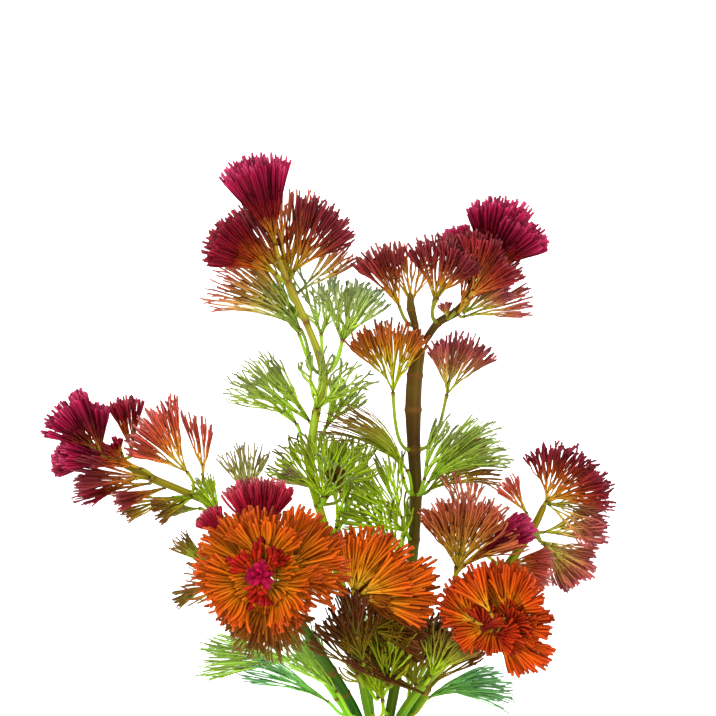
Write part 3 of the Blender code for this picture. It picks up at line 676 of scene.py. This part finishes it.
def thread_rings(path, normals, roll, widths):
    """Rings of four points; the first and the third are the thread's edges."""
    along = np.gradient(path, axis=0)
    along /= np.linalg.norm(along, axis=1)[:, None]
    across = np.cross(normals, along)
    across /= np.linalg.norm(across, axis=1)[:, None]
    deep = np.cross(along, across)
    wide = across * math.cos(roll) + deep * math.sin(roll)
    thick = deep * math.cos(roll) - across * math.sin(roll)
    wide = wide * widths[:, None] / 2
    thick = thick * np.minimum(THREAD_DEPTH, widths)[:, None] / 2
    return np.stack([path + wide, path + thick, path - wide, path - thick], 1)


# %% [markdown]
# ## How the threads fork
# A real leaf forks by threes and twos until it ends in scores of blunt tips. The same rule is
# used here: each fork shares out its slice of the fan among its branches, which draw together a
# little so that gaps open between the tufts. The first fork has as many branches as it takes to
# fill the leaf's rim, so wide leaves and narrow ones look equally full. The rim is rounded off
# towards the leaf's sides, and the outer threads leave the hub closer to the middle line and
# flare out, as they do on a fan whose ribs are limp.

# %% Grow threads
THREAD_AT = np.array((0.0, 0.25, 0.5, 0.75, 1.0))
TIP_AT = np.array((0.0, 0.2, 0.4, 0.6, 0.8, 0.95, 1.0))
TIP_ROUNDING = 0.7
LEAST_RUN = 0.07
LAYER_SHRINK = 0.05
LAYER_TURN = 0.05
RIM_REACH = 1.04
RIM_ROUNDING = 0.08
SIDE_FLARE = 0.25
FORK_RAGGED = 0.12
SHADE_VARIETY = 0.15
ROLL_VARIETY = 0.3
TURN_POWER = 1.7


def grow_threads(leaf, style, rng, sheaf, layer):
    """Adds one layer of a leaf's threads, from its hub to its tips."""
    forks = style.forks_for(leaf)
    half = leaf.spread / 2
    size = RIM_REACH - LAYER_SHRINK * layer
    turn = rng.normal(0.0, LAYER_TURN) if layer else 0.0
    off_middle = layer - (style.layers - 1) / 2

    def thread_end(level, aim):
        """How far out a thread runs, as a share of the reach."""
        if level == len(forks) - 1:
            rounded = size * (1.0 - RIM_ROUNDING * aim**4)
            return rounded * (1.0 - abs(rng.normal(0.0, style.ragged)))
        return style.shares[level] * (1.0 + rng.normal(0.0, FORK_RAGGED))

    def fork(level, share, angle, depth, slope, low, high, tint):
        """Grows the branches of one fork, and theirs in turn, over the slice from low to high."""
        last = level == len(forks) - 1
        slices = np.linspace(low, high, forks[level] + 1)
        gap = style.gather * (slices[1] - slices[0]) / 2 if level else 0.0
        for left, right in zip(slices[:-1] + gap, slices[1:] - gap):
            aim = (left + right) / 2 + rng.normal(0.0, style.stray) * (right - left)
            end = max(thread_end(level, aim), share + LEAST_RUN)
            tilt = slope + rng.normal(0.0, style.spacing)
            shade = min(max(tint + rng.normal(0.0, SHADE_VARIETY), 0.0), 1.0)
            t = TIP_AT if last else THREAD_AT
            ease = 1.0 - (1.0 - t) ** TURN_POWER if level else np.ones(len(t))
            shares = share + (end - share) * t
            bend = rng.normal(0.0, style.wave) * np.sin(math.pi * t) * (end - share)
            curl = rng.normal(0.0, style.curl) * t**2 * (end - share) if last else 0.0
            angles = (angle + (aim - angle) * ease + bend + curl) * half
            angles = angles * (1.0 - SIDE_FLARE * (1.0 - shares) ** 2)
            depths = depth + tilt * (shares - share)
            start_width = style.widths[level - 1] if level else style.widths[0]
            widths = start_width + (style.widths[level] - start_width) * np.minimum(2 * t, 1.0)
            if last:
                widths[-1] *= TIP_ROUNDING
            path = leaf.points(shares, angles, depths)
            normals = np.broadcast_to(leaf.normal, path.shape)
            knot = np.zeros(len(t))
            if level == 0:
                knot[0] = 1.0
            rings = thread_rings(path, normals, rng.normal(0.0, ROLL_VARIETY), widths)
            sheaf.add(rings, shares, shade, knot, THREAD_EDGE_SHADE)
            if not last:
                heading = angle + (aim - angle) * ease[-1]
                fork(level + 1, shares[-1], heading, depths[-1], tilt, left, right, shade)

    edge = 1.0 - LAYER_SHRINK * layer
    # Painted light and shade: each layer's tint is raised or lowered by its depth in the leaf
    shade = 0.5 + style.front * off_middle
    fork(0, 0.0, 0.0, 0.0, style.lean * off_middle, turn - edge, turn + edge, shade)


# %% [markdown]
# ## Leaf stalks
# A stalk leaves its stem square to it and then turns into the leaf's own line. A cubic Bezier
# with one handle at each end makes that bend. It starts inside the stem, so that no gap shows,
# and it is thicker at its foot and at the hub, where the brown joint sits.

# %% Stalk
STALK_STEPS = 14
STALK_SIDES = 8
STALK_WIDTH = 1.15
STALK_HANDLE = 0.35
FOOT_DEPTH = 0.5
FOOT_SWELL = 0.5
FOOT_LENGTH = 0.12
HUB_SWELL = 0.35
HUB_LENGTH = 0.05
# A stalk lies before the hub, so its places along the leaf are below 0
STALK_START = -0.2
MIDDLE_SHADE = 0.5


def grow_stalk(leaf, sheaf):
    centre, along, radius = stem_at(leaf.stem, leaf.node)
    reach = leaf.hub - centre
    last = leaf.node == len(STEMS[leaf.stem]) - 1
    outward = unit(reach) if last else unit(reach - reach @ along * along)
    foot = centre + FOOT_DEPTH * radius * outward
    length = np.linalg.norm(leaf.hub - foot)
    first = foot + STALK_HANDLE * length * outward
    second = leaf.hub - STALK_HANDLE * length * leaf.axis
    t = np.linspace(0.0, 1.0, STALK_STEPS)[:, None]
    path = (
        (1 - t) ** 3 * foot
        + 3 * (1 - t) ** 2 * t * first
        + 3 * (1 - t) * t**2 * second
        + t**3 * leaf.hub
    )
    t = t[:, 0]
    at_foot = np.exp(-((t / FOOT_LENGTH) ** 2))
    at_hub = np.exp(-(((t - 1) / HUB_LENGTH) ** 2))
    widths = STALK_WIDTH * (1.0 + FOOT_SWELL * at_foot + HUB_SWELL * at_hub)
    rings = ring_of(path, leaf.side, widths, widths, STALK_SIDES)
    sheaf.add(rings, STALK_START * (1 - t), MIDDLE_SHADE, at_hub)


# %% [markdown]
# ## Shader nodes in few lines
# Most lines of a node tree add a node and fill its inputs. One helper does both. It links an
# input when it is handed another node's socket, and otherwise sets the plain value.

# %% Node helpers
def fill_inputs(tree, node, inputs):
    """Links each named input to a socket, or sets a plain value on it."""
    for key, value in inputs.items():
        if isinstance(value, bpy.types.NodeSocket):
            tree.links.new(value, node.inputs[key])
        else:
            node.inputs[key].default_value = value


def add_node(tree, kind, inputs, **settings):
    """A new node with its settings and its inputs."""
    node = tree.nodes.new(kind)
    for key, value in settings.items():
        setattr(node, key, value)
    fill_inputs(tree, node, inputs)
    return node


def mix_colours(tree, blend, factor, first, second):
    """Two colours mixed; the factor and the colours are sockets or plain values."""
    inputs = {0: factor, 6: first, 7: second}
    return add_node(tree, "ShaderNodeMix", inputs, data_type="RGBA", blend_type=blend).outputs[2]


# %% [markdown]
# ## Colour that runs out along the threads
# Leaf colour changes from the hub to the tips, and from thread to thread. A node group reads the
# values stored on the points. It gives back the place on a colour ramp, with a little noise so
# that no two threads match, and masks for the thread's shade, which carries painted shade by
# layer, its edges, which carry painted shade on threads and streaks on stems, and the joints.
# Every leaf and stem material places the same group.

# %% Thread tone group
def make_tone_group():
    group = bpy.data.node_groups.new("thread_tone", "ShaderNodeTree")
    for name in ("Patchiness", "Patch Size"):
        group.interface.new_socket(name, in_out="INPUT", socket_type="NodeSocketFloat")
    for name in ("Tone", "Shade", "Knot", "Edge"):
        group.interface.new_socket(name, in_out="OUTPUT", socket_type="NodeSocketFloat")
    source = add_node(group, "NodeGroupInput", {})
    stored = {}
    for name in ("along", "tint", "knot", "edge"):
        stored[name] = add_node(group, "ShaderNodeAttribute", {}, attribute_name=name).outputs["Fac"]
    place = add_node(group, "ShaderNodeTexCoord", {})
    inputs = {"Vector": place.outputs["Object"], "Scale": source.outputs["Patch Size"]}
    noise = add_node(group, "ShaderNodeTexNoise", inputs)
    inputs = {0: noise.outputs["Fac"], 1: 0.5}
    centred = add_node(group, "ShaderNodeMath", inputs, operation="SUBTRACT")
    inputs = {0: centred.outputs[0], 1: source.outputs["Patchiness"], 2: stored["along"]}
    tone = add_node(group, "ShaderNodeMath", inputs, operation="MULTIPLY_ADD").outputs[0]
    outputs = {"Tone": tone, "Shade": stored["tint"], "Knot": stored["knot"], "Edge": stored["edge"]}
    add_node(group, "NodeGroupOutput", outputs)
    return group


TONE_GROUP = make_tone_group()
print("group sockets:", len(TONE_GROUP.interface.items_tree))

# %% [markdown]
# ## Colours
# Colours are written as hex codes, as a screen shows them. Blender counts in linear light, so one
# helper converts them. Each palette maps places along a thread, from 0 at the hub to 1 at the tip,
# to a colour. Young leaves run from gold to crimson, and older ones from lime to olive.

# %% Palettes
PALETTES = {
    "crimson": {0: "aa9623", 0.15: "c37d1e", 0.36: "8c1c18", 0.62: "7a0a26", 0.85: "b21c4a", 1: "dc4e82"},
    "flame": {0: "be9b28", 0.12: "ebaa37", 0.35: "de7632", 0.6: "b6422c", 0.85: "a42e36", 1: "b4505a"},
    "maroon": {0: "8c9128", 0.15: "dcaf28", 0.38: "c8762a", 0.6: "a84230", 0.84: "a83e40", 1: "cd7d76"},
    "claret": {0: "96a528", 0.15: "d2a019", 0.4: "b95014", 0.6: "8c1618", 0.85: "961830", 1: "c84b5f"},
    "red_brown": {0: "96aa28", 0.12: "cdb92d", 0.4: "c3821e", 0.65: "a54418", 0.88: "a83a26", 1: "a54b3e"},
    "orange": {0: "bea523", 0.08: "ffd237", 0.35: "faa81c", 0.65: "ee8010", 0.88: "e16412", 1: "dc6932"},
    "gold": {0: "8ca523", 0.12: "b9d223", 0.4: "cdc823", 0.65: "e19b23", 0.85: "c36928", 1: "b4643e"},
    "plum": {0: "8c962d", 0.15: "c8d446", 0.38: "e1c660", 0.6: "d78e5c", 0.82: "be6058", 1: "b66472"},
    "rust": {0: "969623", 0.1: "dec334", 0.38: "e0aa3e", 0.62: "d6823e", 0.85: "cd6a48", 1: "d28470"},
    "sunset": {0: "969623", 0.08: "ebb932", 0.35: "d07824", 0.58: "b24422", 0.8: "8c2430", 1: "963e4e"},
    "young_red": {0: "e1821e", 0.4: "e14b16", 0.8: "cd2819", 1: "c3232d"},
    "salmon": {0: "96a528", 0.2: "e8cd42", 0.42: "ee963e", 0.62: "de663a", 0.84: "dc6454", 1: "d48a80"},
    "bronze": {0: "82a03c", 0.22: "a5be58", 0.44: "ded06c", 0.62: "e4b462", 0.82: "c46e4c", 1: "b26a62"},
    "ember": {0: "be9623", 0.08: "ffc832", 0.3: "fa9612", 0.6: "ec640a", 0.88: "d84e12", 1: "d05f34"},
    "moss": {0: "91b419", 0.4: "afc31e", 0.75: "a0961c", 1: "916e23"},
    "twig": {0: "786914", 0.4: "6e3e12", 1: "69301e"},
    "olive": {0: "82a01e", 0.12: "a5c823", 0.4: "bebe28", 0.65: "b9962d", 0.85: "9b692d", 1: "915a3c"},
    "umber": {0: "879619", 0.35: "967d16", 0.7: "70420c", 1: "73441e"},
    "green": {0: "9bc332", 0.2: "cdf248", 0.55: "c3e15a", 0.85: "a5b964", 1: "8c9669"},
    "lime": {0: "96c819", 0.15: "dcff32", 0.5: "d7fc34", 0.8: "b4cd3a", 1: "8c8c3a"},
    "meadow": {0: "96cd2d", 0.2: "d0ff64", 0.6: "cdfa6c", 1: "a0c866"},
    "teal": {0: "91d746", 0.3: "94e16c", 0.7: "87cd82", 1: "8ab98e"},
    "heart": {0: "bea523", 0.3: "f0b428", 0.7: "ee8c14", 1: "e16e0f"},
    "ruby": {0: "781908", 0.4: "a5230a", 0.8: "c83c0e", 1: "cd4b19"},
    "magenta": {0: "5f0514", 0.5: "91082d", 1: "be144b"},
    "moor": {0: "96be1e", 0.25: "c8de32", 0.5: "b9b93c", 0.75: "96782d", 1: "96734b"},
    "straw": {0: "a0b93c", 0.4: "bebe5f", 0.8: "a5965f", 1: "8c8264"},
    "peach": {0: "bebe3c", 0.2: "f0cd6e", 0.5: "f5af73", 0.8: "eb8c6e", 1: "d77d73"},
    "dusk": {0: "878c28", 0.15: "d4b230", 0.35: "cd7a2e", 0.55: "9e422e", 0.8: "8e2e38", 1: "b0565c"},
    "wine": {0: "969628", 0.12: "af781c", 0.3: "822d19", 0.55: "7a1028", 0.82: "b91c4e", 1: "e15582"},
    "rose": {0: "be963c", 0.4: "aa202d", 0.7: "c31c3c", 0.9: "d7415a", 1: "e17882"},
    "sage": {0: "afd746", 0.3: "d0ee68", 0.6: "c6dc7c", 0.85: "acbe80", 1: "98a282"},
    "autumn": {0: "e6a523", 0.4: "dc8218", 0.7: "af5f12", 1: "875a1c"},
}


def linear(code):
    """A colour's hex code as Blender's linear values."""
    return tuple(
        v / 12.92 if v <= 0.04045 else ((v + 0.055) / 1.055) ** 2.4
        for v in (c / 255 for c in bytes.fromhex(code))
    ) + (1.0,)


def ramp_colour(tree, stops, factor):
    """The colour that a ramp gives for a factor, with a mark for each place and its code."""
    ramp = add_node(tree, "ShaderNodeValToRGB", {"Fac": factor})
    marks = ramp.color_ramp.elements
    while len(marks) < len(stops):
        marks.new(0.5)
    for mark, (place, code) in zip(marks, stops.items()):
        mark.position = place
        mark.color = linear(code)
    return ramp.outputs["Color"]


print("palettes:", len(PALETTES))

# %% [markdown]
# ## Skin of leaves and stems
# The skin starts with the palette's colour, gets painted shade at a thread's edges, on a stem is
# darkened along its streaks, and turns brown at the joints. Leaves and stems share these steps, so
# one function builds them and each material adds its own finish.

# %% Skin
def start_skin(name, stops, patchiness, patch_size):
    """A new material with the tone group and the colour ramp that it drives."""
    material = bpy.data.materials.new(name)
    material.use_nodes = True
    tree = material.node_tree
    tone = tree.nodes.new("ShaderNodeGroup")
    tone.node_tree = TONE_GROUP
    fill_inputs(tree, tone, {"Patchiness": patchiness, "Patch Size": patch_size})
    return material, tree, tone, ramp_colour(tree, stops, tone.outputs["Tone"])


def finish_skin(tree, tone, colour, edge, joint):
    """The colour with painted shade at thread edges, dark streaks on stems, and brown joints."""
    edged = mix_colours(tree, "MULTIPLY", tone.outputs["Edge"], colour, linear(edge))
    return mix_colours(tree, "MIX", tone.outputs["Knot"], edged, linear(joint))


# %% [markdown]
# ## Leaf materials
# Leaf tissue is thin and lets light through, so it is a mix of a plain surface with little gloss
# and a translucent one. The light that comes through is brighter than the surface, which a gamma
# below 1 gives. Threads differ in shade at random, and each layer gets painted light and shade by
# its depth. Thread edges get painted shade, duller on green leaves than on red ones.

# %% Leaf materials
# The shade ramp: a random tone for each thread, plus the painted shade of its layer
SHADE_STOPS = {0.0: "a59b96", 0.5: "e1dedc", 1.0: "ffffff"}
# Painted shade at the edges of threads, for red leaves and for green ones
EDGE_PAINTED_SHADE = "b29696"
GREEN_EDGE_PAINTED_SHADE = "a5af8c"
GREENS = ("green", "lime", "meadow", "teal", "moss", "moor", "straw", "sage")
KNOT_BROWN = "603416"
# How strong the patches of tone are, and the scale of their noise
LEAF_PATCHES = (0.3, 160.0)
LIGHT_THROUGH = 0.55
GLOW_GAMMA = 0.5


def leaf_material(name):
    material, tree, tone, base = start_skin(f"leaf_{name}", PALETTES[name], *LEAF_PATCHES)
    shade = ramp_colour(tree, SHADE_STOPS, tone.outputs["Shade"])
    shaded = mix_colours(tree, "MULTIPLY", 1.0, base, shade)
    edge = GREEN_EDGE_PAINTED_SHADE if name in GREENS else EDGE_PAINTED_SHADE
    colour = finish_skin(tree, tone, shaded, edge, KNOT_BROWN)
    surface = tree.nodes["Principled BSDF"]
    inputs = {"Base Color": colour, "Roughness": 0.45, "Specular IOR Level": 0.06}
    fill_inputs(tree, surface, inputs)
    bright = add_node(tree, "ShaderNodeGamma", {"Color": colour, "Gamma": GLOW_GAMMA})
    glow = add_node(tree, "ShaderNodeBsdfTranslucent", {"Color": bright.outputs["Color"]})
    inputs = {0: LIGHT_THROUGH, 1: surface.outputs[0], 2: glow.outputs[0]}
    blend = add_node(tree, "ShaderNodeMixShader", inputs)
    fill_inputs(tree, tree.nodes["Material Output"], {"Surface": blend.outputs[0]})
    return material


LEAF_MATERIALS = {name: leaf_material(name) for name in PALETTES}
print("leaf materials:", len(LEAF_MATERIALS))

# %% [markdown]
# ## Grow every leaf
# Each leaf gets its own run of chance, so that no two are alike and a change to one leaves the
# others as they were. The heart and young leaves stand too close for a stalk to show. A leaf
# that has a solid takes that solid's place.

# %% Grow every leaf
FIRST_SEED = 1000
STALKLESS = ("big_rosette_young", "big_rosette_heart")
triangles = 0
for number, (name, leaf) in enumerate({**LEAVES, **SMALL_LEAVES}.items()):
    rng = np.random.default_rng(FIRST_SEED + number)
    style = STYLES[leaf.style]
    sheaf = Sheaf()
    if not name.startswith(STALKLESS):
        grow_stalk(leaf.fan, sheaf)
    for layer in range(style.layers):
        grow_threads(leaf.fan, style, rng, sheaf, layer)
    piece = sheaf.make(f"{name}_threads", LEAF_MATERIALS[leaf.palette])
    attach(piece, "root")
    if name in LEAVES:
        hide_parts(name)
    triangles += sum(len(p.vertices) - 2 for p in piece.data.polygons)
print("leaf triangles:", triangles)

# %% [markdown]
# ## Stems
# A stem is a faintly ribbed tube with a swollen brown ring at each node and a rounded end. The
# curve through its nodes is a Catmull-Rom curve, which passes through every point that it is
# given and smooths the stem's place and width together.

# %% Stem shape
STEM_STEPS = 14
STEM_SIDES = 20
STEM_STREAKS = np.random.default_rng(11).uniform(0.0, 1.0, STEM_SIDES)
STEM_HINT = np.array((0.31, 0.17, 0.94))
STEM_CLEARANCE = 0.02
RING_LENGTH = 0.07
RING_SWELL = 0.14
RIB_COUNT = 5
RIB_HEIGHT = 0.025
END_ROUNDING = (0.95, 0.75, 0.35)
FIRST_RING = {"stem": 3, "fork": 1}
TONE_START = {"stem": 0.0, "fork": 0.7}


def spline_points(nodes, per_span):
    """Points of a smooth Catmull-Rom curve through the rows of an array."""
    ends = np.vstack([2 * nodes[0] - nodes[1], nodes, 2 * nodes[-1] - nodes[-2]])
    rows = []
    for before, start, end, after in zip(ends, ends[1:], ends[2:], ends[3:]):
        for t in np.arange(per_span) / per_span:
            linear_part = 2 * start + (end - before) * t
            square_part = (2 * before - 5 * start + 4 * end - after) * t**2
            cubic_part = (3 * start - before - 3 * end + after) * t**3
            rows.append(0.5 * (linear_part + square_part + cubic_part))
    rows.append(nodes[-1])
    return np.array(rows)


def grow_stem(name):
    part = name.split("_")[0]
    nodes = np.array(STEMS[name], float)
    rows = spline_points(nodes, STEM_STEPS)
    path, widths = rows[:, :3], rows[:, 3].copy()
    place = np.arange(len(rows)) / STEM_STEPS
    ring = np.zeros(len(rows))
    for node in range(FIRST_RING[part], len(nodes) - 1):
        ring = np.maximum(ring, np.exp(-(((place - node) / RING_LENGTH) ** 2)))
    widths *= 1.0 + RING_SWELL * ring
    widths[-3:] *= END_ROUNDING
    rings = ring_of(path, STEM_HINT, widths, widths, STEM_SIDES)
    ribs = 1.0 + RIB_HEIGHT * np.cos(np.arange(STEM_SIDES) * 2 * math.pi / STEM_SIDES * RIB_COUNT)
    rings = path[:, None] + (rings - path[:, None]) * ribs[None, :, None]
    rings[..., 2] = np.maximum(rings[..., 2], STEM_CLEARANCE)
    start = TONE_START[part]
    sheaf = Sheaf()
    along = start + (1.0 - start) * place / place[-1]
    sheaf.add(rings, along, MIDDLE_SHADE, ring, STEM_STREAKS)
    return sheaf


# %% [markdown]
# ## Stem colours
# A stem is green where it was cut and turns olive or brown towards its tip, with dull streaks
# along it. Stems are thick enough to stop the light, so they have no translucent part.

# %% Stem materials
STREAK_DARK = "b9b47d"
STEM_KNOT = "50320e"
STEM_PATCHES = (0.25, 90.0)
STEM_PALETTES = {
    "stem_bright": {0: "2d640a", 0.25: "699b0c", 0.5: "94af16", 0.75: "8a8c2a", 1: "765f1e"},
    "stem_lime": {0: "4b960f", 0.3: "78b919", 0.55: "87a016", 0.75: "787012", 1: "735c10"},
    "stem_green": {0: "1e4e08", 0.25: "376908", 0.5: "64820c", 0.8: "767612", 1: "6e580e"},
    "stem_deep": {0: "143e08", 0.35: "265208", 0.7: "3e5808", 1: "6e5f0e"},
    "stem_brown": {0: "2d550a", 0.4: "55640a", 0.55: "4a3e0a", 0.7: "3e2809", 0.85: "4c380a", 1: "5c480e"},
}
# Each stem: the finish of its solid, and its colours
STEM_LOOKS = {
    "stem_upper_left": ("stem_green", "stem_bright"),
    "stem_upper_right": ("stem_brown", "stem_brown"),
    "fork_left": ("stem_brown", "stem_brown"),
    "fork_right": ("stem_brown", "stem_brown"),
    "stem_far_left": ("stem_green", "stem_lime"),
    "stem_big_rosette": ("stem_green", "stem_deep"),
    "stem_middle_rosette": ("stem_green", "stem_green"),
    "stem_far_right": ("stem_green", "stem_green"),
    "stem_small_rosette": ("stem_green", "stem_green"),
}


def stem_material(name):
    material, tree, tone, base = start_skin(name, STEM_PALETTES[name], *STEM_PATCHES)
    colour = finish_skin(tree, tone, base, STREAK_DARK, STEM_KNOT)
    inputs = {"Base Color": colour, "Roughness": 0.5, "Specular IOR Level": 0.05}
    fill_inputs(tree, tree.nodes["Principled BSDF"], inputs)
    return material


STEM_MATERIALS = {name: stem_material(name) for name in STEM_PALETTES}
for name, (finish, palette) in STEM_LOOKS.items():
    piece = grow_stem(name).make(f"{name}_skin", STEM_MATERIALS[palette])
    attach(piece, "root")
    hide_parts(name)
print("stems:", len(STEM_LOOKS))

# %% [markdown]
# ## The bud
# The growing tip is a tight knot of young leaves, still folded. Three whorls of rounded lobes lean
# out more and more from the bud's pole. Each lobe's middle line is an arc, which leaves along the
# pole and bends away from it.

# %% Bud
BUD_LOW = np.array((88.2, 47.5, 60.0))
BUD_HIGH = np.array((86.1, 48.7, 69.5))
BUD_START = 0.2
# Each whorl: its count of lobes, their lean in degrees, length and width
LOBE_WHORLS = ((5, 30, 7.2, 2.4), (7, 66, 8.2, 2.9), (9, 100, 8.4, 2.9))
LOBE_STEPS = 9
LOBE_SIDES = 8
LOBE_FLATNESS = 0.4
LOBE_LENGTHS = (0.7, 1.1)
LOBE_SHADES = (0.2, 1.0)
LOBE_TONE_START = 0.2
# A lobe's width follows a part of a sine wave, raised to a power that rounds it
LOBE_WAVE_START = 0.4
LOBE_WAVE_SPAN = 2.45
LOBE_WAVE_POWER = 0.7
AZIMUTH_VARIETY = 0.22
LEAN_VARIETY = 6.0


def grow_bud():
    sheaf = Sheaf()
    rng = np.random.default_rng(7)
    pole = unit(BUD_HIGH - BUD_LOW)
    east = unit(np.cross(pole, (0.0, 1.0, 0.0)))
    north = np.cross(pole, east)
    start = BUD_LOW + BUD_START * (BUD_HIGH - BUD_LOW)
    t = np.linspace(0.0, 1.0, LOBE_STEPS)
    for whorl, (count, lean, length, width) in enumerate(LOBE_WHORLS):
        for lobe in range(count):
            azimuth = 2 * math.pi * (lobe + 0.5 * whorl) / count + rng.normal(0.0, AZIMUTH_VARIETY)
            outward = math.cos(azimuth) * east + math.sin(azimuth) * north
            turn = math.radians(lean + rng.normal(0.0, LEAN_VARIETY))
            size = length * rng.uniform(*LOBE_LENGTHS) / turn
            climb = size * np.sin(turn * t)[:, None] * pole
            path = start + climb + size * (1.0 - np.cos(turn * t))[:, None] * outward
            widths = width * np.sin(LOBE_WAVE_START + LOBE_WAVE_SPAN * t) ** LOBE_WAVE_POWER
            rings = ring_of(path, np.cross(outward, pole), widths, LOBE_FLATNESS * widths, LOBE_SIDES)
            sheaf.add(rings, LOBE_TONE_START + (1.0 - LOBE_TONE_START) * t, rng.uniform(*LOBE_SHADES))
    return sheaf


piece = grow_bud().make("big_rosette_bud_leaves", LEAF_MATERIALS["magenta"])
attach(piece, "root")
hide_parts("big_rosette_bud")
print("bud lobes:", sum(count for count, *_ in LOBE_WHORLS))
